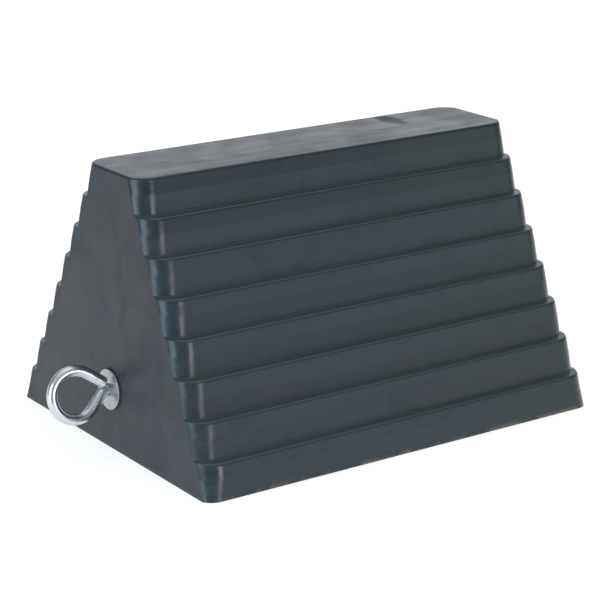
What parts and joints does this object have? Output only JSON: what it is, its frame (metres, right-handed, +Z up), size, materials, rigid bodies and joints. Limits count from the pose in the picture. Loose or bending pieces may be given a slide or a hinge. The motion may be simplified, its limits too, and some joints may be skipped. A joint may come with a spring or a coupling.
{
  "type": "wheel chock",
  "caption": "Stepped rubber wheel chock, hollow underneath, with an open zinc plated eye bolt through one end for a rope or chain.",
  "frame": {"origin": "centre of the block's base, on the middle web's foot, in the plane the chock stands on", "axes": "+Z up; X along the block's length, with the eye bolt on the -X end face; +Y and -Y face the stepped long sides"},
  "size_m": [0.2883, 0.198, 0.15],
  "materials": {
    "rubber": "satin moulded",
    "zinc_wire": "bright zinc plated",
    "zinc_washer": "dull zinc plated",
    "zinc_nut": "zinc plated",
    "nylon": "natural nylon"
  },
  "bodies": {
    "chock": {"chock_body": "rubber", "outer_washer": "zinc_washer", "inner_washer": "zinc_washer"},
    "eye": {"eye_bolt": "zinc_wire", "lock_nut": "zinc_nut", "nut_insert": "nylon"}
  },
  "joints": [
    {"name": "eye_swivel", "type": "hinge", "parent": "chock", "child": "eye", "pos_m": [-0.12492, -0.0015, 0.0325], "axis": [-0.9994, 0, 0.0333], "continuous": true}
  ]
}
